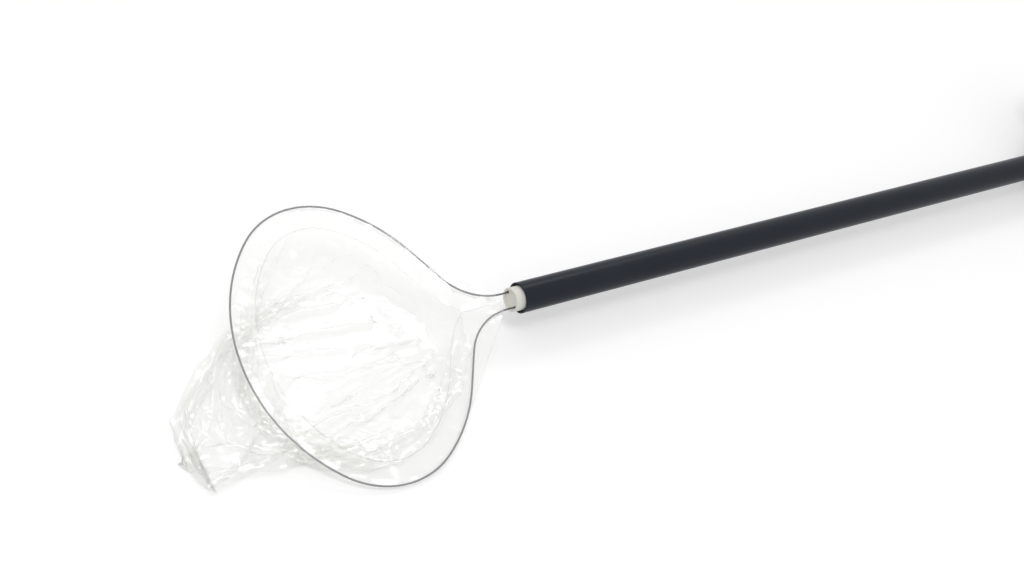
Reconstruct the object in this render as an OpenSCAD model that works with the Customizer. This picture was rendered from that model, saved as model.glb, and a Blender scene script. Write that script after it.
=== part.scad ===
// Specimen retrieval bag. A slim tube holds a push rod; the rod carries a springy wire hoop and
// the hoop opens a clear film bag. Pulling the thumb ring draws the hoop back into the tube.
// +X runs from the tube's mouth to the thumb ring, +Z is up. The origin is on the tube's axis
// at its mouth. The tool lies on a table, so its hoop and finger rings lean to one side.

/* [Tube] */
// Outside diameter of the tube
tube_od = 10; // [9:0.5:15]
// Wall of the tube
tube_wall = 0.5; // [0.3:0.1:0.8]
// Bare length of the tube, from its mouth to the grip
tube_reach = 270; // [200:5:350]
// Length of tube held inside the grip
tube_held = 30; // [27:1:32]
// Lean of the hoop and the finger rings as the tool lies on a table
lean = 15; // [10:1:25]

/* [Hoop] */
// Diameter of the springy wire
wire_d = 0.6; // [0.4:0.1:0.9]
// Distance between the two straight legs
leg_pitch = 5.4; // [5:0.1:5.8]
// Straight leg in front of the tube's mouth
leg_len = 5.5; // [4:0.5:12]
// Radius of the neck bend
neck_r = 20; // [14:1:26]
// Turn of the neck bend
neck_turn = 61; // [55:1:68]
// Straight flank after the neck
flank_len = 12.5; // [8:0.5:18]
// Radius of the long shoulder bend
shoulder_r = 50; // [42:1:60]
// Heading at which the shoulder ends
shoulder_end = 33; // [28:1:38]
// Radius of the side bend
side_r = 26.5; // [22:0.5:34]
// Heading at which the side bend meets the tip bend
side_end = -45; // [-50:1:-40]

/* [Film] */
// Width of the flat hem channel
hem_w = 7.5; // [5:0.5:10]
// Film wall of the hem
hem_wall = 0.3; // [0.2:0.1:0.5]
// Clearance between the wire and the film round it
wire_gap = 0.3; // [0.2:0.1:0.5]
// Front edge of the film, ahead of the tube's mouth
hem_start = 7; // [6:0.5:10]
// Heading at which the hem's straight edge meets the hoop
hem_heading = 46; // [40:1:50]
// Wall of the bag
bag_wall = 0.8; // [0.6:0.1:1.2]
// Depth to which the bag's sides hang before they turn under
bag_drop = 16; // [12:0.5:18]
// Height of the folds in the bag
fold_h = 2.4; // [1.5:0.1:3]
// Length of the bag's tail, beyond the hoop
tail_len = 29; // [20:1:40]

/* [Plug and rod] */
// Diameter of the plug that holds the wire
plug_d = 7.9; // [7.5:0.1:8.4]
// How far the plug stands out of the tube
plug_out = 3; // [1:0.5:4]
// Length of the plug
plug_len = 17; // [17:1:24]
// Depth of the recess in the plug's face
plug_recess = 0.5; // [0.2:0.1:1]
// Diameter of the push rod
rod_d = 6; // [5.5:0.1:6.2]
// Depth of the flat along the rod
rod_flat = 0.8; // [0.5:0.1:1]
// Travel of the rod
stroke = 97; // [60:1:110]
// Sliding clearance round the rod and its discs
slide_gap = 0.1; // [0.05:0.01:0.1]

/* [Grip] */
// Diameter of the nose cap, on which the grip rests
nose_d = 26; // [25:0.5:32]
// Length of the nose cap
nose_len = 8; // [7:0.5:12]
// Outside diameter of the grip's barrel
barrel_d = 22; // [21:0.5:25]
// Length of the barrel between the two caps
barrel_len = 52; // [50:1:70]
// Length of the rear cap
cap_len = 8; // [7:0.5:12]
// Finger and thumb hole diameter
ring_bore = 23; // [21:0.5:25]
// Width of the rings' section
ring_w = 5; // [4:0.5:6]
// Thickness of the rings
ring_t = 6; // [5:0.5:7]
// Distance of a finger hole's centre from the tube's axis
ring_offset = 23.8; // [23.5:0.1:28]
// Rounding of the rings' edges
ring_edge = 1.5; // [0.5:0.25:2]
// Length of the thumb ring's shank
shank_len = 14; // [13:1:20]
// Diameter of the thumb ring's shank
shank_d = 11; // [10:0.5:13]
// Diameter of the grip screws
screw_d = 2.2; // [2:0.1:2.4]

/* [Hidden] */
$fn = 64;

black = "#26282e";
ivory = "#e4e2d6";
steel = "#8c8e92";
clear_film = [0.92, 0.95, 0.97, 0.4];

// ---- Hoop outline, x ahead of the mouth and y across, from leg to tip ----
wire_r = wire_d / 2;
leg_y = leg_pitch / 2;
function along(h) = [cos(h), sin(h)];
function left_of(h) = [-sin(h), cos(h)];
neck_c = [leg_len, leg_y + neck_r];
flank_a = neck_c - neck_r * left_of(neck_turn);
flank_b = flank_a + flank_len * along(neck_turn);
shoulder_c = flank_b - shoulder_r * left_of(neck_turn);
side_a = shoulder_c + shoulder_r * left_of(shoulder_end);
side_c = side_a - side_r * left_of(shoulder_end);
tip_a = side_c + side_r * left_of(side_end);
tip_r = tip_a.y / cos(side_end);
tip_c = tip_a - tip_r * left_of(side_end);
hoop_len = tip_c.x + tip_r;
hoop_half = side_c.y + side_r;

// Points at a distance d outside the wire's path, from heading h on
steps = 10;
function neck_at(h, d) = neck_c - (neck_r - d) * left_of(h);
function shoulder_at(h, d) = shoulder_c + (shoulder_r + d) * left_of(h);
function side_at(h, d) = side_c + (side_r + d) * left_of(h);
function tip_at(h, d) = tip_c + (tip_r + d) * left_of(h);
function between(a, b, i, n) = a + (b - a) * i / n;
function neck_run(h, d) = [for (i = [0:steps - 1]) neck_at(between(h, neck_turn, i, steps), d)];
function front_run(h, d) = concat(
    [for (i = [0:steps - 1]) shoulder_at(between(h, shoulder_end, i, steps), d)],
    [for (i = [0:2 * steps - 1]) side_at(between(shoulder_end, side_end, i, 2 * steps), d)],
    [for (i = [0:steps]) tip_at(between(side_end, -90, i, steps), d)]);
function reversed(p) = [for (i = [len(p) - 1:-1:0]) p[i]];
function both_sides(p) = concat(p, [for (q = reversed(p)) [q.x, -q.y]]);

// ---- Hem, a flat channel round the wire ----
hem_out = wire_r + wire_gap + hem_wall;
hem_t = 2 * hem_out;
// Heading at which the hem's inner edge crosses the middle of the neck
function meet(w) = acos(neck_c.y / (neck_r + w));
function hem_edge(d, x0) = both_sides(concat([[x0, leg_y + d]], front_run(hem_heading, d)));
function mouth_edge(w) = both_sides(concat(neck_run(meet(w), -w), front_run(neck_turn, -w)));

// ---- The lie of the tool ----
ring_r = ring_bore / 2;
ring_or = ring_r + ring_w;
ring_low = (ring_offset + ring_or - ring_edge) * sin(lean)
    + (ring_t / 2 - ring_edge) * cos(lean) + ring_edge;
hoop_low = (hoop_half + hem_out) * sin(lean) + hem_out * cos(lean);
axis_h = max(nose_d / 2, ring_low, hoop_low);
table_z = -axis_h;

// ---- Places along the axis: caps and barrel ----
tube_or = tube_od / 2;
tube_ir = tube_or - tube_wall;
grip_x = tube_reach;
barrel_x = grip_x + nose_len;
cap_x = barrel_x + barrel_len;
cap_end = cap_x + cap_len;
barrel_r = barrel_d / 2;
spigot_len = 4;
spigot_wall = 2;
spigot_r = barrel_r - spigot_wall;
nose_chamfer = 1.5;
cap_chamfer = 1;
ring_x = barrel_x + barrel_len / 2;

// ---- What the barrel holds: tube and flange, bush and seal ----
tube_end = grip_x + tube_held;
flange_len = 4;
flange_h = 2.5;
flange_r = tube_or + flange_h;
flange_back = 12;
flange_x = tube_end - flange_back;
bush_wall = 1.5;
bush_r = tube_or + bush_wall;
bush_gap = 2;
bush_x = tube_end + bush_gap;
bush_len = 14;
seal_len = 4;
seal_x = bush_x + bush_len;
seal_end = seal_x + seal_len;
relief_len = 6;
relief_wall = 0.5;
relief_r = tube_or + relief_wall;
rod_r = rod_d / 2;
rod_room = 1;
rod_channel_r = rod_r + rod_room;

// ---- The rod and what it carries ----
front_gap = 0.4;
ring_start = cap_end + front_gap;
thumb_x = ring_start + shank_len + ring_r + ring_w / 2;
rod_in_ring = 10;
rod_end = ring_start + rod_in_ring;
plug_r = plug_d / 2;
plug_rim = 0.7;
plug_back = plug_len - plug_out;
rod_socket = 8;
rod_front = plug_back - rod_socket;
holder_pin_x = rod_front + rod_socket / 2;
disc_r = tube_ir - slide_gap;
disc_len = 8;
stop_gap = 0.3;
stop_x = bush_x - stop_gap - stroke - disc_len;
guide_back = 26;
guide_x = plug_back + guide_back;
small_pin_r = 0.75;
thumb_pin_r = 1;
pin_recess = 0.2;
thumb_pin_x = ring_start + rod_in_ring / 2;

// ---- Frames ----
// The leaning plane of the hoop and rings, X along the tube
module leaning() { rotate([lean, 0, 0]) children(); }
// The same plane with x ahead of the mouth
module ahead() { leaning() mirror([1, 0, 0]) children(); }
// A cylinder along X from x0 to x1
module bar(x0, x1, r) { translate([x0, 0, 0]) rotate([0, 90, 0]) cylinder(h = x1 - x0, r = r); }
// The rod's section, a circle with one flat, grown by a clearance g
module rod_bar(x0, x1, g) {
    difference() {
        bar(x0, x1, rod_r + g);
        translate([x0 - 1, -rod_d, rod_r - rod_flat + g]) cube([x1 - x0 + 2, 2 * rod_d, rod_d]);
    }
}
// A cross pin along the plane's normal
module cross_pin(x, r, half) { translate([x, 0, -half]) cylinder(h = 2 * half, r = r); }

// ---- Sleeve: everything that stays with the tube ----
module outer_tube() {
    color(black) difference() {
        bar(0, tube_end, tube_or);
        bar(-1, tube_end + 1, tube_ir);
    }
}

module nose_cap() {
    nose_r = nose_d / 2;
    color(black) difference() {
        rotate([0, 90, 0]) rotate_extrude() polygon([
            [0, grip_x], [nose_r - nose_chamfer, grip_x], [nose_r, grip_x + nose_chamfer],
            [nose_r, barrel_x - nose_chamfer], [nose_r - nose_chamfer, barrel_x], [0, barrel_x]]);
        bar(grip_x - 1, barrel_x + 1, tube_or);
        bar(barrel_x - spigot_len, barrel_x + 1, spigot_r);
    }
}

module tube_flange() {
    color(ivory) difference() {
        bar(flange_x, flange_x + flange_len, flange_r);
        bar(flange_x - 1, flange_x + flange_len + 1, tube_or);
    }
}

// One ring with rounded edges, centred on the origin in its own plane
module ring_blank() {
    e = ring_edge;
    half = ring_t / 2;
    bevel = ring_t / 6;
    rotate_extrude() {
        difference() {
            translate([ring_r, -half]) square([ring_w, ring_t]);
            for (s = [-1, 1]) {
                difference() {
                    translate([ring_or - e, s > 0 ? half - e : -half - 1]) square([e + 1, e + 1]);
                    translate([ring_or - e, s * (half - e)]) circle(r = e);
                }
            }
            for (s = [-1, 1]) {
                polygon([[ring_r - bevel, s * half], [ring_r, s * (half - bevel)],
                    [ring_r + bevel, s * half], [ring_r, s * (half + bevel)]]);
            }
        }
    }
}

// The web that joins a finger ring to the barrel
web_foot = 5;
web_sink = 1;
module ring_web() {
    foot = ring_or + web_foot;
    root = barrel_r - web_sink;
    linear_extrude(height = ring_t, center = true) polygon([
        [-foot, 0], [-foot, root], [-ring_or, ring_offset], [ring_or, ring_offset],
        [foot, root], [foot, 0]]);
}

// Barrel of the grip, solid, with its two spigots, kept clear of the finger holes
module barrel_blank() {
    difference() {
        union() {
            bar(barrel_x, cap_x, barrel_r);
            bar(barrel_x - spigot_len, cap_x + spigot_len, spigot_r);
        }
        for (s = [-1, 1]) {
            translate([ring_x, s * ring_offset, 0])
                cylinder(h = 2 * barrel_d, r = ring_r, center = true);
        }
    }
}

// Everything the barrel holds, cut out of both halves
module barrel_room() {
    bar(barrel_x - spigot_len - 1, bush_x, tube_or);
    bar(flange_x, flange_x + flange_len, flange_r);
    bar(bush_x, seal_end, bush_r);
    bar(seal_x, cap_x + spigot_len + 1, rod_channel_r);
    bar(cap_x - relief_len, cap_x + spigot_len + 1, relief_r);
}

screw_r = screw_d / 2;
screw_inset = 3;
screw_y = barrel_r - screw_inset;
screw_seat = 4.6;
screw_depth = 4;
screw_front = 3.6;
screw_back = 2;
screw_xs = [barrel_x + screw_front, seal_end + screw_back];
module at_screws() {
    for (x = screw_xs) {
        for (s = [-1, 1]) {
            translate([x, s * screw_y, 0]) children();
        }
    }
}

module finger_plates() {
    for (s = [0, 1]) {
        mirror([0, s, 0]) {
            translate([ring_x, ring_offset, 0]) ring_blank();
            difference() {
                translate([ring_x, 0, 0]) ring_web();
                translate([ring_x, ring_offset, -ring_t])
                    cylinder(h = 2 * ring_t, r = ring_or - ring_edge);
            }
        }
    }
}

module grip_body() {
    color(black) leaning() difference() {
        union() {
            difference() {
                barrel_blank();
                translate([grip_x, -barrel_d, 0]) cube([2 * barrel_len, 2 * barrel_d, barrel_d]);
            }
            finger_plates();
        }
        barrel_room();
        at_screws() translate([0, 0, -screw_depth]) cylinder(h = barrel_d, r = screw_r);
    }
}

module grip_cover() {
    color(black) leaning() difference() {
        barrel_blank();
        translate([grip_x, -barrel_d, -barrel_d]) cube([2 * barrel_len, 2 * barrel_d, barrel_d]);
        finger_plates();
        barrel_room();
        at_screws() translate([0, 0, -1]) cylinder(h = barrel_d, r = screw_r);
        at_screws() translate([0, 0, screw_seat]) cylinder(h = barrel_d, r = 2 * screw_r);
    }
}

module grip_screws() {
    head = 1.6;
    slot = 0.5;
    slot_depth = head / 2;
    color(steel) leaning() at_screws() difference() {
        union() {
            translate([0, 0, -screw_depth]) cylinder(h = screw_depth + screw_seat, r = screw_r);
            translate([0, 0, screw_seat]) cylinder(h = head, r = 1.8 * screw_r);
        }
        for (a = [0, 90]) {
            rotate([0, 0, a]) translate([-screw_r, -slot / 2, screw_seat + head - slot_depth])
                cube([2 * screw_r, slot, head]);
        }
    }
}

module rod_bush() {
    color(ivory) leaning() difference() {
        bar(bush_x, seal_x, bush_r);
        rod_bar(bush_x - 1, seal_x + 1, slide_gap);
    }
}

module rod_seal() {
    color("#5a5c60") leaning() difference() {
        bar(seal_x, seal_end, bush_r);
        rod_bar(seal_x - 1, seal_end + 1, slide_gap / 2);
    }
}

module rear_cap() {
    color(black) leaning() difference() {
        rotate([0, 90, 0]) rotate_extrude() polygon([
            [0, cap_x], [barrel_r, cap_x], [barrel_r, cap_end - cap_chamfer],
            [barrel_r - cap_chamfer, cap_end], [0, cap_end]]);
        bar(cap_x - 1, cap_x + spigot_len, spigot_r);
        rod_bar(cap_x - 1, cap_end + 1, 3 * slide_gap);
    }
}

module mouth_hem() {
    color(clear_film) ahead() difference() {
        linear_extrude(height = hem_t, center = true) polygon(hem_edge(hem_out, hem_start));
        linear_extrude(height = 2 * hem_t, center = true) polygon(mouth_edge(hem_w));
        linear_extrude(height = hem_t - 2 * hem_wall, center = true) difference() {
            polygon(hem_edge(hem_out - hem_wall, hem_start - 1));
            polygon(mouth_edge(hem_w - hem_wall));
        }
    }
}

// ---- Bag: a film tube lofted over loops, from the weld to its closed tail ----
// Loops that the film passes through beyond the hem, as shares of the hoop and of the tail:
// share of the way, distance ahead and half length, middle across and half width, height
bag_points = 60;
bag_rows = 34;
// As shares of the wall: least height of the film's upper side over the table, the inner skin's
// distance from the outer, and how much narrower its loops are on each side
layers = 3.2;
skin_gap = 1.3;
side_inset = 3;
// How much more the film rises in the middle of a loop than at its sides
crown = 2;
bag_loops = [
    [0.17, hoop_len * 0.645, hoop_len * 0.323, -1, hoop_half * 0.773, 6.4],
    [0.38, hoop_len * 0.762, hoop_len * 0.222, -4, hoop_half * 0.62, 6.6],
    [0.6, hoop_len * 0.94, 6, -4.5, hoop_half * 0.51, 6.8],
    [0.8, hoop_len + tail_len * 0.28, 3.5, -10, hoop_half * 0.41, 6.6],
    [1, hoop_len + tail_len * 0.72, 2.5, -16, hoop_half * 0.28, 3.8]];
// Folds of the film on the table: the two ends, ahead and across
floor_folds = [[[36, -8], [72, -14]], [[40, -15], [66, -22]], [[40, 30], [48, 14]],
    [[34, 3], [56, 5]], [[72, 6], [75, -18]]];
fold_w = 3.4;
// Pleats of the tail: how many go round it, their height, and the share of the way where they
// start and take over from the folds
tail_pleats = 7;
pleat_h = fold_h / 2.4;
tail_from = 0.62;
pleat_start = 0.12;
function weld_half(w) = concat(neck_run(meet(w), -w), front_run(neck_turn, -w));
function far_along(p) = [for (i = 0, s = 0; i < len(p); s = s + norm(p[min(i + 1, len(p) - 1)]
    - p[i]), i = i + 1) s];
// The weld as an even loop, from the neck corner round the far side, at a height off the plane
function weld_loop(w, lift) = let (p = weld_half(w), s = far_along(p), n = len(p) - 1,
    xs = [for (i = [0:n]) [s[i], p[i].x]], ys = [for (i = [0:n]) [s[i], p[i].y]])
    [for (k = [0:bag_points - 1]) let (t = k <= bag_points / 2 ? k : bag_points - k,
        at = s[n] * t * 2 / bag_points, y = (k <= bag_points / 2 ? 1 : -1) * lookup(at, ys))
        [-lookup(at, xs), y * cos(lean) - lift * sin(lean), y * sin(lean) + lift * cos(lean)]];
function upper(k) = (1 - cos(360 * k / bag_points)) / 2;
function table_loop(c, w) = [for (k = [0:bag_points - 1]) let (a = 360 * k / bag_points)
    [-(c[1] - (c[2] - w) * cos(a)), c[3] + (c[4] - side_inset * w) * sin(a),
        table_z + c[5] * pow(upper(k), crown)]];
function key_loops(w) = let (rim = weld_loop(hem_w - bag_wall + w, -hem_out),
    low = table_loop(bag_loops[0], w))
    concat([rim], [[for (k = [0:bag_points - 1])
        [low[k].x, low[k].y, max(low[k].z, rim[k].z - bag_drop * (1 - upper(k) / 2))]]],
    [for (i = [1:len(bag_loops) - 1]) table_loop(bag_loops[i], w)]);
// A smooth curve through the loops, at a share of the way
loop_at = concat([0], [for (c = bag_loops) c[0]]);
function slope(keys, i, j) = (keys[j] - keys[i]) / (loop_at[j] - loop_at[i]);
function loop_along(keys, v) = let (last = len(keys) - 1,
    i = min(last - 1, max([for (j = [0:last]) v > loop_at[j] ? j : 0])),
    span = loop_at[i + 1] - loop_at[i], t = (v - loop_at[i]) / span,
    m0 = slope(keys, max(i - 1, 0), i + 1) * span,
    m1 = slope(keys, i, min(i + 2, last)) * span)
    (2 * t * t * t - 3 * t * t + 1) * keys[i] + (t * t * t - 2 * t * t + t) * m0
        + (3 * t * t - 2 * t * t * t) * keys[i + 1] + (t * t * t - t * t) * m1;
function off_line(q, f) = let (d = f[1] - f[0], t = min(1, max(0, (q - f[0]) * d / (d * d))))
    norm(q - f[0] - t * d);
function share(x) = min(1, max(0, x));
function floor_fold(p) = fold_h * max([for (f = floor_folds)
    exp(-pow(off_line([-p.x, p.y], f) / fold_w, 2))]);
// How far a point of the film is raised: folds on the table under the hoop, pleats on the tail
function raised(p, z, v, k) = let (on_table = share(1 - (z - table_z) / (2 * fold_h)),
    under_hoop = share((tail_from - v) / pleat_start),
    on_tail = share((v - tail_from) / pleat_start + 1) * share((1 - v) / pleat_start + 0.4),
    on_top = share(5 * upper(k) - 3.5))
    on_table * under_hoop * floor_fold(p)
        + on_tail * on_top * pleat_h * sin(tail_pleats * 360 * k / bag_points);
// The outer skin, or the inner one, a wall w further in and ending a little short of the tail
function bag_skin(w, reach) = let (keys = key_loops(w), outer = key_loops(0))
    [for (i = [0:bag_rows]) let (v = reach * i / bag_rows, row = loop_along(keys, v),
        skin = loop_along(outer, v), thick = skin_gap * w * min(1, 8 * v))
        [for (k = [0:bag_points - 1])
        i == 0 ? row[k] : [row[k].x, row[k].y, max(table_z + layers * bag_wall * upper(k), skin[k].z)
            + thick * (1 - 2 * upper(k)) + raised(row[k], skin[k].z, v, k)]]];
// One closed skin of film: the outer loops, the inner loops, and the rim that joins them
module film_skin(outer, inner) {
    n = bag_points;
    m = bag_rows;
    w = (m + 1) * n;
    function ring(i, k) = i * n + k % n;
    function wall(f) = [for (i = [0:m - 1]) each [for (k = [0:n - 1]) each
        [[f + ring(i, k), f + ring(i, k + 1), f + ring(i + 1, k)],
        [f + ring(i, k + 1), f + ring(i + 1, k + 1), f + ring(i + 1, k)]]]];
    function tail_end(f, c) = [for (k = [0:n - 1]) [f + ring(m, k), f + ring(m, k + 1), c]];
    function turned(faces) = [for (t = faces) [t[0], t[2], t[1]]];
    rim = [for (k = [0:n - 1]) each [[ring(0, k), w + ring(0, k), ring(0, k + 1)],
        [ring(0, k + 1), w + ring(0, k), w + ring(0, k + 1)]]];
    middles = [for (c = [outer[m], inner[m]]) [for (i = [0:n - 1]) 1 / n] * c];
    polyhedron(points = concat([for (r = outer) each r], [for (r = inner) each r], middles),
        faces = concat(wall(0), tail_end(0, 2 * w), turned(wall(w)),
            turned(tail_end(w, 2 * w + 1)), rim), convexity = 6);
}

module film_bag() {
    color(clear_film)
        film_skin(bag_skin(0, 1), bag_skin(bag_wall, 1 - 2 * bag_wall / tail_len));
}

// ---- Rod: everything that slides ----
module push_rod() {
    color(ivory) leaning() difference() {
        rod_bar(rod_front, rod_end, 0);
        cross_pin(holder_pin_x, small_pin_r, rod_d);
        cross_pin(stop_x + disc_len / 2, small_pin_r, rod_d);
        cross_pin(thumb_pin_x, thumb_pin_r, rod_d);
    }
}

wire_hole_gap = 0.15;
wire_hole_r = wire_r + wire_hole_gap;
ferrule_r = 0.9;
ferrule_len = 5;
ferrule_gap = 1;
ferrule_x = rod_front - ferrule_gap - ferrule_len;
module at_legs() {
    for (s = [-1, 1]) {
        translate([0, s * leg_y, 0]) children();
    }
}

module loop_holder() {
    color(ivory) leaning() difference() {
        bar(-plug_out, plug_back, plug_r);
        bar(-plug_out - 1, -plug_out + plug_recess, plug_r - plug_rim);
        at_legs() bar(-plug_out - 1, rod_front, wire_hole_r);
        at_legs() bar(ferrule_x, rod_front + 1, ferrule_r);
        rod_bar(rod_front, plug_back + 1, 0);
        cross_pin(holder_pin_x, small_pin_r, plug_d);
    }
}

module holder_pin() {
    color(steel) leaning() cross_pin(holder_pin_x, small_pin_r, plug_r - pin_recess);
}

// One bend of the wire about a centre, between two headings
module bend(centre, r, h0, h1) {
    turn = h0 > h1 ? 90 : -90;
    translate([centre.x, centre.y, 0]) rotate([0, 0, min(h0, h1) + turn])
        rotate_extrude(angle = abs(h1 - h0)) translate([r, 0]) circle(r = wire_r);
}

module hoop_wire() {
    color(steel) ahead() {
        for (s = [0, 1]) {
            mirror([0, s, 0]) {
                translate([0, leg_y, 0]) bar(-ferrule_x - ferrule_len, leg_len, wire_r);
                bend(neck_c, neck_r, 0, neck_turn);
                translate([flank_a.x, flank_a.y, 0]) rotate([0, 0, neck_turn])
                    bar(0, flank_len, wire_r);
                bend(shoulder_c, shoulder_r, neck_turn, shoulder_end);
                bend(side_c, side_r, shoulder_end, side_end);
            }
        }
        bend(tip_c, tip_r, side_end, -180 - side_end);
    }
}

module wire_ferrules() {
    color(steel) leaning() at_legs() difference() {
        bar(ferrule_x, ferrule_x + ferrule_len, ferrule_r);
        bar(ferrule_x - 1, ferrule_x + ferrule_len + 1, wire_r);
    }
}

// A disc on the rod that runs in the tube
module rod_disc(x) {
    difference() {
        bar(x, x + disc_len, disc_r);
        rod_bar(x - 1, x + disc_len + 1, 0);
    }
}

module rod_guide() {
    color(ivory) leaning() rod_disc(guide_x);
}

module rod_stop() {
    color(ivory) leaning() difference() {
        rod_disc(stop_x);
        cross_pin(stop_x + disc_len / 2, small_pin_r, tube_od);
    }
}

module stop_pin() {
    color(steel) leaning() cross_pin(stop_x + disc_len / 2, small_pin_r, disc_r - pin_recess);
}

// Flat blade that joins the round shank to the ring
shank_blade = 4;
module thumb_ring() {
    color(ivory) leaning() difference() {
        union() {
            translate([thumb_x, 0, 0]) ring_blank();
            difference() {
                union() {
                    bar(ring_start, ring_start + shank_len, shank_d / 2);
                    translate([ring_start + shank_len - shank_blade, -shank_d / 2, -ring_t / 2])
                        cube([2 * shank_blade, shank_d, ring_t]);
                }
                translate([thumb_x, 0, 0]) cylinder(h = 2 * shank_d, r = ring_or - ring_edge,
                    center = true);
            }
        }
        rod_bar(ring_start - 1, rod_end, 0);
        cross_pin(thumb_pin_x, thumb_pin_r, shank_d);
    }
}

module thumb_pin() {
    color(steel) leaning() cross_pin(thumb_pin_x, thumb_pin_r, shank_d / 2 - pin_recess);
}

echo(axis_h = axis_h, hoop_len = hoop_len, hoop_half = hoop_half, ring_low = ring_low,
    hoop_low = hoop_low, thumb_x = thumb_x, ring_x = ring_x, cap_end = cap_end);

outer_tube();
nose_cap();
tube_flange();
grip_body();
grip_cover();
grip_screws();
rod_bush();
rod_seal();
rear_cap();
mouth_hem();
film_bag();
push_rod();
loop_holder();
holder_pin();
hoop_wire();
wire_ferrules();
rod_guide();
rod_stop();
stop_pin();
thumb_ring();
thumb_pin();
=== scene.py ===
import math

import bmesh
import bpy
import numpy as np
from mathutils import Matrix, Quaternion, Vector, noise


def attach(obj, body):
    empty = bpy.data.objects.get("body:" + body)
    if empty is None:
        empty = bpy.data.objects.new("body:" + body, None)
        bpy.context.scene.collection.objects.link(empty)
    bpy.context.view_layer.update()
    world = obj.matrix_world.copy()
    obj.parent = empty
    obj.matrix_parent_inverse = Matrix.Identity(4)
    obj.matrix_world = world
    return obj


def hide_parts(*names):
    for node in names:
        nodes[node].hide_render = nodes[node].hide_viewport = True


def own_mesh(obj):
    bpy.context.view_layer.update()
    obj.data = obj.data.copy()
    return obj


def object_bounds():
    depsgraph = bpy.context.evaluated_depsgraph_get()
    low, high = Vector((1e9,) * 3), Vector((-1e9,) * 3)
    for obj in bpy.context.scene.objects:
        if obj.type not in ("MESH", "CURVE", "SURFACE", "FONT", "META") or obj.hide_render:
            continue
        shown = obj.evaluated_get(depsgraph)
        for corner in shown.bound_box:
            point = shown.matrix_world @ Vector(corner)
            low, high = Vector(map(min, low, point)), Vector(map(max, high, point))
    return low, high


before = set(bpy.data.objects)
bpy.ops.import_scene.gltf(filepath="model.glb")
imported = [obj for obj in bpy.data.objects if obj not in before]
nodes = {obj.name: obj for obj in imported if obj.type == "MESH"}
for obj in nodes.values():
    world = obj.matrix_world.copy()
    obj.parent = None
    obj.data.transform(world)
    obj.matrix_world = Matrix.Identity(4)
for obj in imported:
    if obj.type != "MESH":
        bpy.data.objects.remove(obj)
cad_box = [list(corner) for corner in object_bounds()]
MM = 0.001

# ---- Camera ----
# A 52 mm lens on a full-frame sensor looks down at the tube's mouth from the bag's side. The
# camera is tipped, so the tube rises to the right across the picture.
eye = Vector((-251.9, -224.55, 319.7)) * MM
aim = Vector((10.72, 13.84, -13.0)) * MM
tip_angle = math.radians(22.877)
lens_mm, sensor_mm = 52.03, 36.0

camera_data = bpy.data.cameras.new("camera")
camera_data.lens = lens_mm
camera_data.sensor_width = sensor_mm
camera_data.clip_start, camera_data.clip_end = 0.01, 20.0
camera = bpy.data.objects.new("camera", camera_data)
camera.rotation_mode = "QUATERNION"
camera.location = eye
level = (aim - eye).to_track_quat("-Z", "Y")
camera.rotation_quaternion = level @ Quaternion((0, 0, 1), tip_angle)
bpy.context.collection.objects.link(camera)
bpy.context.scene.camera = camera
bpy.context.scene.view_settings.view_transform = "Standard"
bpy.context.scene.cycles.transparent_max_bounces = 32

# ---- Table and daylight ----
# A plain white table under a wide soft light from above and a weaker one from the far side.
# The tool lies on it, so its top is at the lowest point of the frame.


class Signal:
    """One shader socket. The operators add Math nodes behind it, so a formula reads as one."""

    def __init__(self, paint, socket):
        self.paint, self.socket = paint, socket

    def maths(self, operation, *others):
        sockets = dict(enumerate((self, *others)))
        return self.paint.node("Math", {"operation": operation}, sockets)

    def __add__(self, other):
        return self.maths("ADD", other)

    def __mul__(self, other):
        return self.maths("MULTIPLY", other)

    def __sub__(self, other):
        return self.maths("SUBTRACT", other)

    def __pow__(self, other):
        return self.maths("POWER", other)

    def __rsub__(self, other):
        return self * -1.0 + other

    __radd__, __rmul__ = __add__, __mul__

    def clamped(self, low, high):
        return self.maths("MAXIMUM", low).maths("MINIMUM", high)


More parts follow.
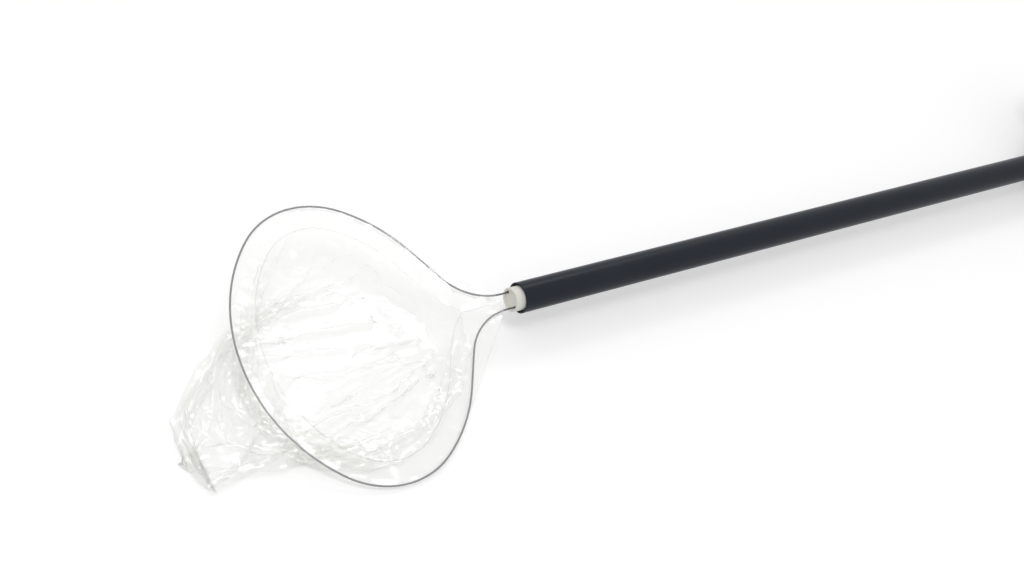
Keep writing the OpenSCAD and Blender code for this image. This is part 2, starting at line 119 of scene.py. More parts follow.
class Paint:
    """The node tree of one material, or of the world."""

    def __init__(self, owner):
        owner.use_nodes = True
        self.owner, self.tree = owner, owner.node_tree
        self.tree.nodes.clear()

    def node(self, kind, settings=None, sockets=None, output=0):
        made = self.tree.nodes.new("ShaderNode" + kind)
        for name, value in (settings or {}).items():
            if name == "stops":
                ramp = made.color_ramp.elements
                while len(ramp) < len(value):
                    ramp.new(0.5)
                for element, (position, colour) in zip(ramp, value):
                    element.position, element.color = position, colour
            else:
                setattr(made, name, value)
        for name, value in (sockets or {}).items():
            if isinstance(value, Signal):
                self.tree.links.new(value.socket, made.inputs[name])
            else:
                made.inputs[name].default_value = value
        return Signal(self, made.outputs[output])

    def tint(self, factor, first, second):
        """A colour from first, where factor is 0, to second, where it is 1."""
        sockets = {0: factor, 6: first, 7: second}
        return self.node("Mix", {"data_type": "RGBA"}, sockets, output=2)

    def place(self, scale=(1, 1, 1)):
        """Where a point is on its piece, in metres, stretched by scale."""
        here = self.node("TexCoord", output="Object")
        return self.node("VectorMath", {"operation": "MULTIPLY"}, {0: here, 1: scale})

    def grain(self, scale, detail=2.0, stretch=(1, 1, 1)):
        """Soft random patches, scale of them to a metre."""
        sockets = {"Vector": self.place(stretch), "Scale": scale, "Detail": detail}
        return self.node("TexNoise", {}, sockets)

    def bump(self, height, distance, strength=1.0):
        sockets = {"Height": height, "Distance": distance, "Strength": strength}
        return self.node("Bump", {}, sockets)

    def looked_at(self):
        """1 for what is seen straight, in a mirror or through glass, and 0 for other light."""
        kinds = ("Is Camera Ray", "Is Glossy Ray", "Is Transmission Ray")
        straight, mirrored, through = (self.node("LightPath", output=kind) for kind in kinds)
        return (straight + mirrored + through).clamped(0.0, 1.0)

    def finish(self, shader, kind="OutputMaterial"):
        output = self.tree.nodes.new("ShaderNode" + kind)
        self.tree.links.new(shader.socket, output.inputs["Surface"])
        return self.owner


def grey(value):
    return (value, value, value, 1)


table_z = cad_box[0][2]
table_reach = 6.0
table_white = 0.90
camera_lift = 0.22

table = Paint(bpy.data.materials.new("table_top"))
table_paint = table.node("BsdfDiffuse", {}, {"Color": grey(table_white)})
table_glow = table.node("Emission", {}, {
    "Color": grey(1.0), "Strength": table.looked_at() * camera_lift})
table_surface = table.node("AddShader", {}, {0: table_paint, 1: table_glow})

mesh = bpy.data.meshes.new("table_top")
corners = [(-1, -1), (1, -1), (1, 1), (-1, 1)]
mesh.from_pydata([(x * table_reach, y * table_reach, table_z) for x, y in corners], [],
                 [(0, 1, 2, 3)])
table_top = bpy.data.objects.new("table_top", mesh)
mesh.materials.append(table.finish(table_surface))
bpy.context.collection.objects.link(table_top)

sky = Paint(bpy.data.worlds.new("room"))
bpy.context.scene.world = sky.owner
room_light, room_seen = 0.63, 1.0
strength = sky.looked_at() * (room_seen - room_light) + room_light
sky.finish(sky.node("Background", {}, {"Color": grey(1.0), "Strength": strength}), "OutputWorld")


def soft_lamp(name, place, target, width, height, power):
    lamp = bpy.data.lights.new(name, "AREA")
    lamp.shape = "RECTANGLE"
    lamp.size, lamp.size_y, lamp.energy = width, height, power
    made = bpy.data.objects.new(name, lamp)
    made.location = place
    made.rotation_mode = "QUATERNION"
    made.rotation_quaternion = (Vector(target) - Vector(place)).to_track_quat("-Z", "Y")
    bpy.context.collection.objects.link(made)


soft_lamp("overhead_panel", (-0.25, -0.22, 1.05), (0, 0, 0), 0.46, 0.36, 2.9)
soft_lamp("far_window", (0.53, 0.54, 0.75), (-0.06, 0, 0), 0.30, 0.22, 1.05)

# ---- Tube ----
# Extruded black plastic, 10 mm outside, cut off square at the mouth. The die leaves faint
# lines along it, and handling leaves a few dull patches.


def dress(name, material):
    node = nodes[name]
    for index in range(max(1, len(node.data.materials))):
        if index < len(node.material_slots):
            node.material_slots[index].material = material
        else:
            node.data.materials.append(material)
    return node


tube = Paint(bpy.data.materials.new("extruded_black"))
die_lines = tube.grain(1.0, 3.0, (12, 1400, 1400))
patches = tube.grain(45.0, 3.0)
tube_roughness = patches * 0.12 + 0.22 + die_lines * 0.05
tube_colour = tube.tint(patches, (0.015, 0.0185, 0.026, 1), (0.020, 0.0245, 0.033, 1))
tube_shader = tube.node("BsdfPrincipled", {}, {
    "Base Color": tube_colour, "Roughness": tube_roughness, "Specular IOR Level": 0.11,
    "Normal": tube.bump(die_lines, 0.01 * MM)})
extruded_black = tube.finish(tube_shader)
dress("outer_tube", extruded_black)

# ---- Plug and rod ----
# The plug, rod, discs and thumb ring are turned and moulded in ivory acetal, a slightly waxy
# plastic that lets a little light in. Cross pins hold the plug, the stop and the ring on the rod.
acetal = Paint(bpy.data.materials.new("ivory_acetal"))
mottle = acetal.grain(260.0, 3.0)
turning = acetal.grain(1.0, 1.0, (2600, 60, 60))
acetal_colour = acetal.tint(mottle, (0.74, 0.73, 0.665, 1), (0.81, 0.80, 0.745, 1))
acetal_shader = acetal.node("BsdfPrincipled", {}, {
    "Base Color": acetal_colour, "Roughness": mottle * 0.2 + 0.33,
    "Subsurface Weight": 0.25, "Subsurface Radius": (0.9, 0.8, 0.6), "Subsurface Scale": 1.0 * MM,
    "Normal": acetal.bump(turning + mottle, 0.012 * MM)})
ivory_acetal = acetal.finish(acetal_shader)
for name in ("loop_holder", "push_rod", "rod_guide", "rod_stop", "rod_bush", "tube_flange",
             "thumb_ring"):
    dress(name, ivory_acetal)

# ---- Grip ----
# Two shells, a nose cap and a rear cap, moulded in black nylon with a fine spark-eroded skin.
# Four screws pull the shells together round the collar on the tube, and the caps close their ends.
nylon = Paint(bpy.data.materials.new("moulded_black"))
skin = nylon.grain(1500.0, 2.0)
sheen = nylon.grain(60.0, 3.0)
nylon_shader = nylon.node("BsdfPrincipled", {}, {
    "Base Color": nylon.tint(sheen, (0.014, 0.015, 0.019, 1), (0.021, 0.023, 0.028, 1)),
    "Roughness": sheen * 0.18 + 0.42, "Normal": nylon.bump(skin, 0.05 * MM)})
moulded_black = nylon.finish(nylon_shader)
for name in ("nose_cap", "grip_body", "grip_cover", "rear_cap"):
    dress(name, moulded_black)

# ---- Seal ----
# A ring of grey nitrile rubber, dull and a little dusty. It sits in the barrel behind the bush
# and wipes the rod.
rubber = Paint(bpy.data.materials.new("nitrile_rubber"))
bloom = rubber.grain(500.0, 4.0)
rubber_shader = rubber.node("BsdfPrincipled", {}, {
    "Base Color": rubber.tint(bloom, grey(0.07), grey(0.13)), "Roughness": bloom * 0.2 + 0.65})
dress("rod_seal", rubber.finish(rubber_shader))

# ---- Screws, pins and ferrules ----
# Bright stainless steel, turned, so its marks run round each piece. The screws cut their own
# thread in the grip; the pins are pressed in, and the ferrules are crimped on the wire.
steel = Paint(bpy.data.materials.new("turned_steel"))
marks = steel.grain(900.0, 4.0, (1, 1, 6))
steel_shader = steel.node("BsdfPrincipled", {}, {
    "Base Color": steel.tint(marks, grey(0.50), grey(0.62)), "Metallic": 1.0,
    "Roughness": marks * 0.2 + 0.2})
turned_steel = steel.finish(steel_shader)
for name in ("grip_screws", "holder_pin", "stop_pin", "thumb_pin", "wire_ferrules"):
    dress(name, turned_steel)

# ---- Spring wire ----
# One length of springy 0.6 mm wire. Both legs go into the plug; from there it bends out through
# the neck and shoulders and closes in a wide bow. It leans with the tool as it lies.
lean = math.radians(15)
across = Vector((0, math.cos(lean), math.sin(lean)))
normal = Vector((0, -math.sin(lean), math.cos(lean)))
wire_r = 0.3 * MM
leg_y, leg_back, leg_front = 2.7 * MM, -5.0 * MM, 5.5 * MM
neck_r, neck_turn = 20.0 * MM, 61
flank_len = 12.5 * MM
shoulder_r, shoulder_end = 50.0 * MM, 33
side_r, side_end = 26.5 * MM, -45


def walk(start, runs, step):
    """Points (ahead, out, heading) along straights and bends; a run is (length or radius, turn)."""
    ahead, out, heading = start
    points = [(ahead, out, heading)]
    for size, turn in runs:
        turn = math.radians(turn)
        length = abs(size * turn) if turn else size
        count = max(1, round(length / step))
        for _ in range(count):
            middle = heading + turn / count / 2
            chord = 2 * size * math.sin(abs(turn) / count / 2) if turn else size / count
            ahead += chord * math.cos(middle)
            out += chord * math.sin(middle)
            heading += turn / count
            points.append((ahead, out, heading))
    return points


def upper_half(step):
    """The wire's upper half, from its end inside the plug to the tip of the bow."""
    runs = [(leg_front - leg_back, 0), (neck_r, neck_turn), (flank_len, 0),
            (shoulder_r, shoulder_end - neck_turn), (side_r, side_end - shoulder_end)]
    first = walk((leg_back, leg_y, 0.0), runs, step)
    tip_r = first[-1][1] / math.cos(math.radians(side_end))
    return np.array(first + walk(first[-1], [(tip_r, -90 - side_end)], step)[1:])


def laid(ahead, out, lift=0.0):
    """A point of the leaning plane, in the tool's frame."""
    return Vector((-ahead, 0, 0)) + across * out + normal * lift


def mesh_piece(name, points, faces, materials, smooth=True):
    data = bpy.data.meshes.new(name)
    data.from_pydata([tuple(p) for p in points], [], faces)
    data.validate()
    for material in materials:
        data.materials.append(material)
    data.polygons.foreach_set("use_smooth", [smooth] * len(data.polygons))
    made = bpy.data.objects.new(name, data)
    bpy.context.collection.objects.link(made)
    return made


wire_sides = 12
half = upper_half(0.8 * MM)
whole = np.vstack([half, [(a, -o, math.pi - h) for a, o, h in half[-2::-1]]])
ring_points, ring_faces = [], []
for ahead, out, heading in whole:
    sideways = Vector((0, 0, 0)) + across * math.cos(heading) + Vector((math.sin(heading), 0, 0))
    for k in range(wire_sides):
        a = 2 * math.pi * k / wire_sides
        ring_points.append(laid(ahead, out) + wire_r * (sideways * math.cos(a) + normal * math.sin(a)))
for i in range(len(whole) - 1):
    for k in range(wire_sides):
        n = (k + 1) % wire_sides
        base = i * wire_sides
        ring_faces.append((base + k, base + n, base + wire_sides + n, base + wire_sides + k))
last = (len(whole) - 1) * wire_sides
ring_faces.append(tuple(range(wire_sides))[::-1])
ring_faces.append(tuple(last + k for k in range(wire_sides)))

spring = Paint(bpy.data.materials.new("spring_wire"))
drawn = spring.grain(700.0, 3.0)
spring_shader = spring.node("BsdfPrincipled", {}, {
    "Base Color": spring.tint(drawn, (0.12, 0.12, 0.135, 1), (0.20, 0.20, 0.22, 1)), "Metallic": 1.0,
    "Roughness": drawn * 0.18 + 0.22})
spring_wire = mesh_piece("spring_wire", ring_points, ring_faces, [spring.finish(spring_shader)])
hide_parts("hoop_wire")
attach(spring_wire, "rod")
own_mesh(spring_wire)

# ---- Hem ----
# The bag's clear film, folded at its mouth over the wire and welded back on itself 7.5 mm further
# in. Across the neck the fold runs straight, so it bridges the wire's bends beside the tube.
hem_w, fold_r = 7.5 * MM, 0.62 * MM
hem_front, hem_heading = 7.0 * MM, 46
front_half = 3.6 * MM
film_gap = 0.05 * MM
neck_sag = {1: 3.4 * MM, -1: 0.3 * MM}
weld_pucker, hem_creased, hem_crease_wide = 0.5 * MM, 0.9 * MM, 13 * MM
# The two layers close up beside the wire; where the fold runs free of it, it is blunt and flutters
pinch, blunt_over = 1.5 * MM, 3 * MM
flutter_high, flutter_over = 0.35 * MM, 4 * MM


def moved(points, distance):
    """Points of a walked line moved sideways, outward where distance is positive."""
    ahead, out, heading = points.T
    return np.stack([ahead - distance * np.sin(heading), out + distance * np.cos(heading)], 1)


def evenly(points, count):
    """The same line with count points, evenly spaced."""
    steps = np.linalg.norm(np.diff(points, axis=0), axis=1)
    along = np.concatenate([[0], np.cumsum(steps)])
    wanted = np.linspace(0, along[-1], count)
    return np.stack([np.interp(wanted, along, column) for column in points.T], 1)


def ripple(turn, seed):
    """A smooth random wave round a closed loop, from -1 to 1; turn is 0 to 1."""
    place = Vector((math.cos(math.tau * turn), math.sin(math.tau * turn), seed))
    return noise.noise(place * 2.6) + 0.6 * noise.noise(place * 6.5) + 0.3 * noise.noise(place * 15)


wire_line = upper_half(0.5 * MM)
wire_line = wire_line[wire_line[:, 0] >= hem_front]
wire_line = np.vstack([wire_line[0], wire_line])
wire_line[-1, 1] = 0
welded = moved(wire_line, -hem_w)
on_weld = (welded[:, 1] > 0) | (wire_line[:, 0] > 50 * MM)
corner = welded[on_weld][0, 0]
first_weld = int(np.argmax(on_weld))
for i in range(first_weld):
    welded[i] = (hem_front + (corner - hem_front) * i / first_weld, 0)
welded[first_weld, 1] = welded[-1, 1] = 0
weld_steps = np.linalg.norm(np.diff(welded[first_weld:], axis=0), axis=1)
weld_share = np.zeros(len(welded))
weld_share[first_weld + 1:] = np.cumsum(weld_steps) / weld_steps.sum() / 2
edge = moved(wire_line, fold_r)
shoulder_start = int(np.argmax((wire_line[:, 0] > 25 * MM)
                               & (wire_line[:, 2] <= math.radians(hem_heading))))
hem_across = [0, .06, .14, .25, .38, .52, .66, .8, .92, 1, 1.12, 1.25, 1.4, 1.55, 1.7, 1.83, 1.94, 2]


def weld_wave(turn):
    """How far the weld stands off the leaning plane."""
    return weld_pucker * ripple(turn, 3.1)


def hem_crumple(spot, turn, inside):
    """How far the folded film between the wire and the weld is lifted by its creases."""
    place = Vector((spot[0] / hem_crease_wide, spot[1] / hem_crease_wide, 9 * turn))
    ridge = noise.ridged_multi_fractal(place, 1.0, 2.1, 2, 1.0, 2.0) - 1.0
    return hem_creased * ridge * 4 * inside * (1 - inside)


def hem_half(side):
    """Rows of points of the folded film on one side of the tool."""
    rows = []
    chord_a = np.array([hem_front, front_half])
    chord_b = edge[shoulder_start]
    for i, (ahead, out, heading) in enumerate(wire_line):
        wire_at, rim = np.array([ahead, out]), edge[i]
        if i < shoulder_start:
            share = i / shoulder_start
            rim = chord_a + (chord_b - chord_a) * share
            inward = np.array([chord_b[1] - chord_a[1], chord_a[0] - chord_b[0]])
            rim = rim + inward / np.linalg.norm(inward) * neck_sag[side] * math.sin(math.pi * share)
        else:
            share = 0
        reach = np.linalg.norm(rim - wire_at)
        turn = weld_share[i] if side > 0 else 1 - weld_share[i]
        row = []
        for layer in (1, -1):
            for q in hem_across if layer > 0 else hem_across[-2::-1]:
                inside = max(0.0, 1 - q)
                outside = max(0.0, q - 1)
                spot = wire_at + (welded[i] - wire_at) * inside + (rim - wire_at) * outside
                off = np.linalg.norm(spot - wire_at)
                gap = film_gap + (fold_r - film_gap) * math.exp(-(off / pinch) ** 2)
                power = 2 + 6 * min(1, max(0, reach - fold_r) / blunt_over)
                gap *= math.sqrt(max(0, 1 - outside ** power)) * (1 if q > 0 else 0)
                wave = weld_wave(turn) * inside ** 1.5 + hem_crumple(spot, turn, inside)
                flutter = flutter_high * outside * min(1, reach / flutter_over)
                flutter *= ripple(share, 8 + side)
                row.append(laid(spot[0], side * spot[1], layer * gap + wave + flutter))
        rows.append(row)
    return rows


hem_points, hem_faces = [], []
for side in (1, -1):
    rows = hem_half(side)
    width, base = len(rows[0]), len(hem_points)
    hem_points += [point for row in rows for point in row]
    for i in range(len(rows) - 1):
        for k in range(width - 1):
            a = base + i * width + k
            quad = (a, a + 1, a + width + 1, a + width)
            hem_faces.append(quad if side > 0 else quad[::-1])


def merged(piece, distance):
    """Joins points of a piece that lie closer than distance."""
    data = bmesh.new()
    data.from_mesh(piece.data)
    bmesh.ops.remove_doubles(data, verts=data.verts, dist=distance)
    bmesh.ops.dissolve_degenerate(data, edges=data.edges, dist=distance / 10)
    data.to_mesh(piece.data)
    data.free()
    piece.data.polygons.foreach_set("use_smooth", [True] * len(piece.data.polygons))


film = Paint(bpy.data.materials.new("clear_film"))
crinkle = film.grain(420.0, 4.0)
crease = (film.grain(95.0, 2.0) - 0.5).maths("ABSOLUTE")
facing = film.node("LayerWeight", {}, {"Blend": 0.5}, output="Facing")
film_normal = film.bump(crease * 0.9 * MM + crinkle * 0.05 * MM, 1.0, 0.9)
film_clear = film.node("BsdfTransparent", {}, {"Color": (0.995, 0.995, 0.991, 1)})
film_skin = film.node("BsdfPrincipled", {}, {
    "Base Color": (0.96, 0.96, 0.95, 1), "Metallic": 0.85, "Roughness": crinkle * 0.18 + 0.13,
    "IOR": 2.7, "Specular IOR Level": 1.0, "Normal": film_normal})
film_share = facing ** 2.0 * 0.05 + 0.17
clear_film = film.finish(film.node("MixShader", {}, {0: film_share, 1: film_clear, 2: film_skin}))
film_hem = mesh_piece("film_hem", hem_points, hem_faces, [clear_film])
merged(film_hem, 0.01 * MM)
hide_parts("mouth_hem")
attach(film_hem, "sleeve")
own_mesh(film_hem)

# ---- Film bag ----
# One thin clear film, blown as a tube, welded to the hem and closed at its far end. It is longer
# than the room under the hoop, so it crumples on the table and its tail lies out past the bow.
around, rows_down = 200, 78
# Loops the film passes through on its way to the tail: share of the way, then ahead of the mouth
# and half length, across and half width, height of the upper side above the table, in mm
bag_loops = [(0.17, 61, 31, -1, 35.5, 0), (0.38, 72, 21, -4, 28.5, 8), (0.60, 89, 6, -3.5, 21.5, 9),
             (0.80, 103, 3.5, -9.5, 17, 7.5), (1.0, 114, 2.5, -15.5, 10, 2.5)]
film_clear_of_table = 0.25 * MM
# The tube of film as cut: its girth along the way, and its length on the neck and tip sides
cut_at = (0, 0.17, 0.38, 0.6, 0.8, 1.0)
cut_girth = np.array((221, 215, 188, 142, 112, 74)) * MM
neck_side, tip_side = 102 * MM, 74 * MM
# Where the folds of the film on the table start: lines ahead of the mouth and across, in mm
fold_lines = [((42, 0), (34, -7), (75, -13)), ((35, -10), (56, -17), (76, -17)),
              ((37, -15), (57, -22), (67, -23)), ((37, 43), (41, 26), (41, 14), (34, 9)),
              ((45, 46), (48, 32), (50, 22)), ((49, 4), (32, 2)), ((55, -2), (32, -5)),
              ((38, -29), (56, -33), (66, -35)), ((74, 1), (75, -9), (74, -19), (72, -29)),
              ((22, 6), (30, -6)), ((30, 38), (20, 24), (13, 13))]
fold_start, fold_half = 2.2 * MM, 1.8 * MM
drop = 7.5 * MM
turns = np.arange(around) / around
weld_half = evenly(welded[first_weld:], around // 2 + 1)
weld_ring = np.vstack([weld_half, weld_half[-2:0:-1] * (1, -1)])
ring_0 = np.array([laid(a, o, weld_wave(t)) for (a, o), t in zip(weld_ring, turns)])
angle = math.tau * turns
upper = np.round((1 - np.cos(angle)) / 2, 9)
floor_z = table_z + film_clear_of_table


def bag_loop(spec):
    share, ahead, half_long, mid, half_wide, height = spec
    x = -(ahead - half_long * np.cos(angle)) * MM
    y = (mid + half_wide * np.sin(angle)) * MM
    z = floor_z + height * MM * upper ** 1.3
    return np.stack([x, y, z], 1)


keys = [ring_0] + [bag_loop(spec) for spec in bag_loops]
keys[1][:, 2] = np.maximum(floor_z, ring_0[:, 2] - drop)
shares = np.array([0.0] + [spec[0] for spec in bag_loops])


def spline(keys, shares, at):
    """A smooth curve through the key loops, at a share of the way."""
    i = int(np.clip(np.searchsorted(shares, at) - 1, 0, len(keys) - 2))
    before, after = max(i - 1, 0), min(i + 2, len(keys) - 1)
    span = shares[i + 1] - shares[i]
    t = (at - shares[i]) / span
    m0 = (keys[i + 1] - keys[before]) / (shares[i + 1] - shares[before]) * span
    m1 = (keys[after] - keys[i]) / (shares[after] - shares[i]) * span
    return ((2 * t ** 3 - 3 * t ** 2 + 1) * keys[i] + (t ** 3 - 2 * t ** 2 + t) * m0
            + (3 * t ** 2 - 2 * t ** 3) * keys[i + 1] + (t ** 3 - t ** 2) * m1)


film_rows = np.array([spline(keys, shares, v) for v in np.linspace(0, 1, rows_down)])
wander, wander_wide = 0.6 * MM, 5 * MM
noise.seed_set(4)
for i in range(1, rows_down):
    for k in range(around):
        p = Vector(film_rows[i, k]) / wander_wide
        film_rows[i, k] += np.array(noise.noise_vector(p)) * wander * min(1, i / 6)


def away(spots, start, end):
    """Distance of each spot from a straight line between two points."""
    start, end = np.array(start) * MM, np.array(end) * MM
    along = ((spots - start) @ (end - start) / ((end - start) @ (end - start))).clip(0, 1)
    return np.linalg.norm(spots - start - along[..., None] * (end - start), axis=-1)


way = np.linspace(0, 1, rows_down)
spots = film_rows[..., :2] * (-1, 1)
nearest = np.array([np.min([away(spots, *pair) for pair in zip(line, line[1:])], axis=0)
                    for line in fold_lines]).min(axis=0)
foldable = (film_rows[..., 2] < floor_z + 9 * MM) & (way[:, None] < 0.62)
foldable &= (upper < 0.6) | (way[:, None] < 0.3)
foldable[0] = False
film_rows[..., 2] += fold_start * np.exp(-(nearest / fold_half) ** 2) * foldable
film_rows[1:, :, 2] = np.maximum(film_rows[1:, :, 2], floor_z)


girth = np.interp(way, cut_at, cut_girth)
length = way[:, None] * (neck_side + (tip_side - neck_side) * upper)
bend_near, bend_far = 0.10, 0.03
settle_steps, passes = 160, 4
settle_drop, top_speed = 0.015 * MM, 0.5 * MM
kept_speed, kept_on_table = 0.85, 0.4
clear_of_wire, bow_end = 0.8 * MM, 97 * MM


def eased(x):
    """0 below 0, 1 above 1, and a smooth rise between."""
    x = np.clip(x, 0, 1)
    return x * x * (3 - 2 * x)


def sizes(vectors):
    """How long each vector is, summed part by part, so that it comes out alike everywhere."""
    x, y, z = vectors[..., 0], vectors[..., 1], vectors[..., 2]
    return np.sqrt(x * x + y * y + z * z)


def film_links(rows):
    """Pairs of neighbours, as (first, second, laid distance, cut distance, stiffness) in sets
    that share no point: along and across the film, on its diagonals, and further off to bend."""
    number = np.arange(rows_down * around).reshape(rows_down, around)
    points, sets = rows.reshape(-1, 3), []
    for down, over, stiff in ((0, 1, 1.0), (1, 0, 1.0), (1, 1, 0.5), (1, -1, 0.5),
                              (0, 2, bend_near), (2, 0, bend_near), (0, 4, bend_far),
                              (4, 0, bend_far)):
        i, k = np.meshgrid(np.arange(rows_down - down), np.arange(around), indexing="ij")
        j, m = i + down, (k + over) % around
        sideways, down_film = (girth[i] + girth[j]) / 2 / around * over, length[j, m] - length[i, k]
        cut = np.sqrt(sideways * sideways + down_film * down_film)
        first, second = number[i, k], number[j, m]
        as_laid = sizes(points[second] - points[first])
        cut = np.maximum(cut, np.minimum(as_laid * 0.97, cut * 1.35))
        lot = (i // down if down else k // over) % 2
        for chosen in (lot == 0, lot == 1):
            sets.append((first[chosen], second[chosen], as_laid[chosen], cut[chosen], stiff))
    return sets


def settled(rows):
    """Lets the film out to its cut size in small steps. It drops and folds on the table, its
    upper side on its lower side, and all of it stays under the wire."""
    rows = np.round(rows, 8)
    links = film_links(rows)
    free = np.ones(rows_down * around)
    free[:around] = 0
    low = eased((0.5 - upper) / 0.3) * eased((way - 0.4) / 0.15)[:, None]
    high = eased((upper - 0.35) / 0.3)
    least = floor_z + np.interp(way, (0, .3, .45, .8, 1), (0, 0, 3.5, 4.5, 1.2))[:, None] * high * MM
    most = np.interp(way, (0, .3, .45, .8, 1), (40, 40, 12, 12, 6))[:, None] * MM
    most = floor_z + most * (1 - low) + 3.2 * MM * low
    least, most = least.ravel(), most.ravel()
    plane = np.array(normal)
    points = rows.reshape(-1, 3).copy()
    jitter = np.random.default_rng(4).normal(0, 0.05 * MM, points[around:].shape)
    points[around:] += np.round(jitter, 8)
    speed = np.zeros_like(points)
    for step in range(settle_steps):
        grown = eased((step + 1) / (settle_steps * 0.7))
        speed[:, 2] -= settle_drop
        moving = points + speed * free[:, None]
        for _ in range(passes):
            for first, second, as_laid, cut, stiff in links:
                apart = moving[second] - moving[first]
                now = sizes(apart) + 1e-12
                wanted = as_laid + (cut - as_laid) * grown
                a, b = free[first], free[second]
                shift = (stiff * (now - wanted) / now / (a + b + 1e-9))[:, None] * apart
                moving[first] += shift * a[:, None]
                moving[second] -= shift * b[:, None]
            loose = moving[around:]
            loose[:, 2] = np.clip(loose[:, 2], least[around:], most[around:])
            height = loose[:, 0] * plane[0] + loose[:, 1] * plane[1] + loose[:, 2] * plane[2]
            over = np.maximum(0, height + clear_of_wire) * (loose[:, 0] > -bow_end)
            loose -= over[:, None] * plane
        speed = (moving - points) * kept_speed
        speed[moving[:, 2] < least + 0.05 * MM, :2] *= kept_on_table
        fast = sizes(speed)[:, None]
        speed *= np.minimum(1, top_speed / np.maximum(fast, 1e-9))
        points = moving
    return points.reshape(rows.shape)


def halfway(a, b, c, d):
    """The middle of the smooth curve from b to c."""
    return (9 * (b + c) - a - d) / 16


def finer(rows):
    """The same film with twice the points each way, on smooth curves through the old ones."""
    wide = np.repeat(rows, 2, axis=1)
    wide[:, 1::2] = halfway(*(np.roll(rows, shift, 1) for shift in (1, 0, -1, -2)))
    tall = np.repeat(wide, 2, axis=0)[:-1]
    past = np.concatenate([2 * wide[:1] - wide[1:2], wide, 2 * wide[-1:] - wide[-2:-1]])
    tall[1::2] = halfway(past[:-3], past[1:-2], past[2:-1], past[3:])
    return tall


def inward(rows):
    """Unit vectors square to the film, into the bag."""
    square = np.cross(np.roll(rows, 1, 1) - np.roll(rows, -1, 1), np.gradient(rows, axis=0))
    return square / (np.linalg.norm(square, axis=-1, keepdims=True) + 1e-12)


# Creases pressed in while the bag was packed, as lines on the film: the share of its girth, from
# the neck towards the high side, and the share of the way to the tail
mouth_creases = [
    ((.175, .08), (.14, .17), (.11, .22), (.075, .26), (.045, .21), (.03, .10), (.005, .04)),
    ((.19, .01), (.13, .13), (.085, .17), (.05, .14)), ((.15, .05), (.095, .04), (.045, .03)),
    ((.165, .08), (.115, .12), (.08, .13), (.045, .09), (.015, .04)),
    ((.225, .04), (.195, .06), (.18, .21), (.14, .27)), ((.225, .04), (.21, .12), (.18, .23)),
    ((-.005, .01), (0, .05), (-.035, .10), (-.08, .10)), ((0, .06), (-.09, .08), (-.105, .14)),
    ((-.03, .21), (-.035, .31), (-.045, .42), (-.055, .51)), ((0, .21), (.01, .40)),
    ((-.04, .22), (-.055, .35), (-.06, .44), (-.065, .51)), ((-.14, .48), (-.165, .38)),
    ((-.045, .17), (-.08, .29), (-.11, .39), (-.105, .48)), ((-.18, .47), (-.215, .39)),
    ((-.025, .23), (-.005, .34), (.01, .44)), ((-.055, .22), (-.085, .30), (-.125, .34)),
    ((.005, .18), (.015, .29), (.025, .36)), ((.02, .22), (.04, .29), (.04, .39)),
    ((.345, .02), (.36, .06), (.35, .18)), ((.325, .47), (.175, .49), (.12, .51), (.095, .53)),
    ((.30, .25), (.17, .47), (.075, .53), (0, .55), (-.075, .55))]
tail_creases = [((.355, .91), (.455, .90), (.56, .84), (.615, .78), (.63, .71)),
                ((.44, .83), (.535, .79), (.615, .78)), ((.385, .71), (.48, .70), (.585, .66)),
                ((.535, .92), (.61, .77), (.685, .62)), ((.585, .94), (.67, .82), (.69, .65))]
mouth_crease, tail_crease, crease_half = 1.6 * MM, -1.5 * MM, 1.1 * MM
# Air under the film lifts it off the table here: ahead and across in mm, then width and height
air_pockets = [((38, -19), 13 * MM, 4.5 * MM), ((60, -24), 12 * MM, 3.5 * MM),
               ((44, -8), 8 * MM, 1.6 * MM)]
# The film crumples more on the steep wall, less where it lies calm on the table, and least in the
# tail, whose small wrinkles are ironed out by so many turns of averaging
crumple_high, crumple_long, crumple_wide = 1.2 * MM, 18 * MM, 9 * MM
calm_at, calm_reach = np.array((56, 12)) * MM, 22 * MM
wall_extra, calm_less, tail_less = 0.6, 0.75, 0.7
tail_ironing = 16

film_rows = settled(film_rows)
film_rows = finer(film_rows)
fine_down, fine_around = film_rows.shape[:2]
fine_way = np.linspace(0, 1, fine_down)[:, None]
fine_turns = np.arange(fine_around) / fine_around
tail = eased((fine_way - 0.55) / 0.2)
for _ in range(tail_ironing):
    beside = (np.roll(film_rows, 1, 1) + np.roll(film_rows, -1, 1)) / 2
    along = film_rows.copy()
    along[1:-1] = (film_rows[:-2] + film_rows[2:]) / 2
    film_rows += ((beside + along) / 2 - film_rows) * 0.8 * tail[..., None]


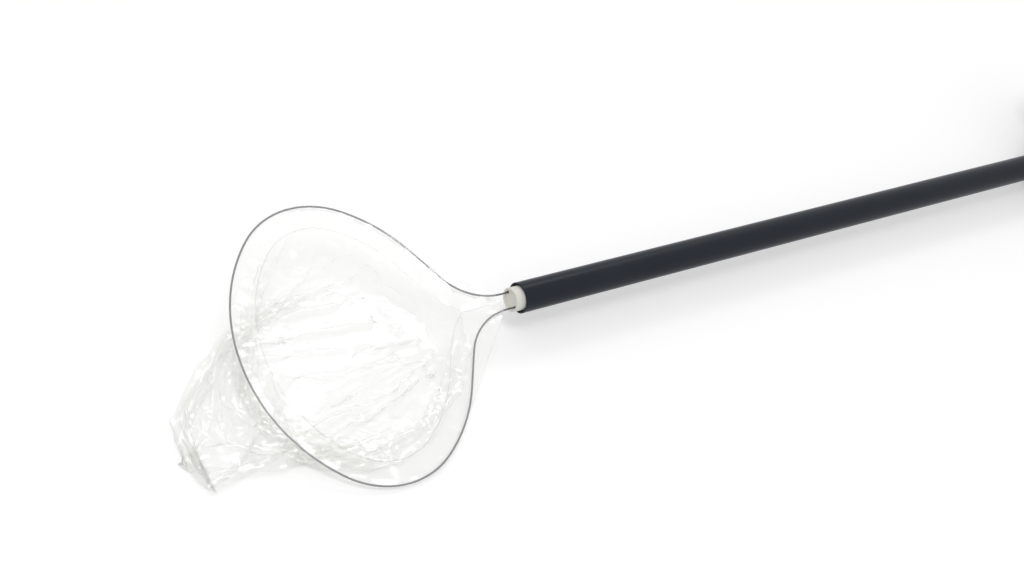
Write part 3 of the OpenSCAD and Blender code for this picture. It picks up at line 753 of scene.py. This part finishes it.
def pressed(creases, height):
    """How far each point moves into the bag, by creases given on the film."""
    cut_size = np.array((cut_girth.mean(), (neck_side + tip_side) / 2)) / MM
    nearest = np.full((fine_down, fine_around), 1.0)
    for shift in (0, 1):
        flat = np.stack(np.broadcast_arrays(fine_turns - shift, fine_way), axis=-1) * cut_size * MM
        for line in creases:
            for start, end in zip(line, line[1:]):
                gap = away(flat, np.array(start) * cut_size, np.array(end) * cut_size)
                nearest = np.minimum(nearest, gap)
    return height * np.exp(-nearest / crease_half) * eased(fine_way / 0.05)


def ridge(spot):
    """Sharp random ridges, drawn out along the tool."""
    x, y, z = spot
    place = (x / crumple_long, y / crumple_wide, z / crumple_wide)
    return noise.ridged_multi_fractal(place, 1.0, 2.1, 3, 1.0, 2.0)


crumpled = np.array([[ridge(spot) for spot in row] for row in film_rows])
from_above = film_rows[..., :2] * (-1, 1)
above_table = film_rows[..., 2] - floor_z
calm = np.exp(-(np.linalg.norm(from_above - calm_at, axis=-1) / calm_reach) ** 4)
calm *= eased((3.5 * MM - above_table) / (2.5 * MM))
wall = eased((above_table - 3 * MM) / (3 * MM)) * eased((0.3 - fine_way) / 0.1)
crumpled = (crumpled - 1.0) * crumple_high * (1 - calm_less * calm + wall_extra * wall
                                              - tail_less * tail)
crumpled *= eased(fine_way / 0.06)
crumpled += pressed(mouth_creases, mouth_crease) + pressed(tail_creases, tail_crease)
for (ahead, out), width, height in air_pockets:
    middle = np.linalg.norm(from_above - np.array((ahead, out)) * MM, axis=-1)
    pocket = np.exp(-(middle / width) ** 2) * eased((0.6 - fine_way) / 0.1) * eased(fine_way / 0.1)
    film_rows[..., 2] += height * pocket
film_rows += inward(film_rows) * crumpled[..., None]
film_rows[1:, :, 2] = np.maximum(film_rows[1:, :, 2], floor_z)
bag_faces = []
for i in range(fine_down - 1):
    for k in range(fine_around):
        n = (k + 1) % fine_around
        row, below = i * fine_around, (i + 1) * fine_around
        bag_faces.append((row + k, row + n, below + n, below + k))
end = (fine_down - 1) * fine_around
for k in range(fine_around // 2):
    facing_k = fine_around - k
    bag_faces.append((end + k, end + (k + 1) % fine_around, end + (facing_k - 1) % fine_around,
                      end + facing_k % fine_around))
film_bag = mesh_piece("film_bag_skin", film_rows.reshape(-1, 3), bag_faces, [clear_film])
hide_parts("film_bag")
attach(film_bag, "sleeve")
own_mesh(film_bag)
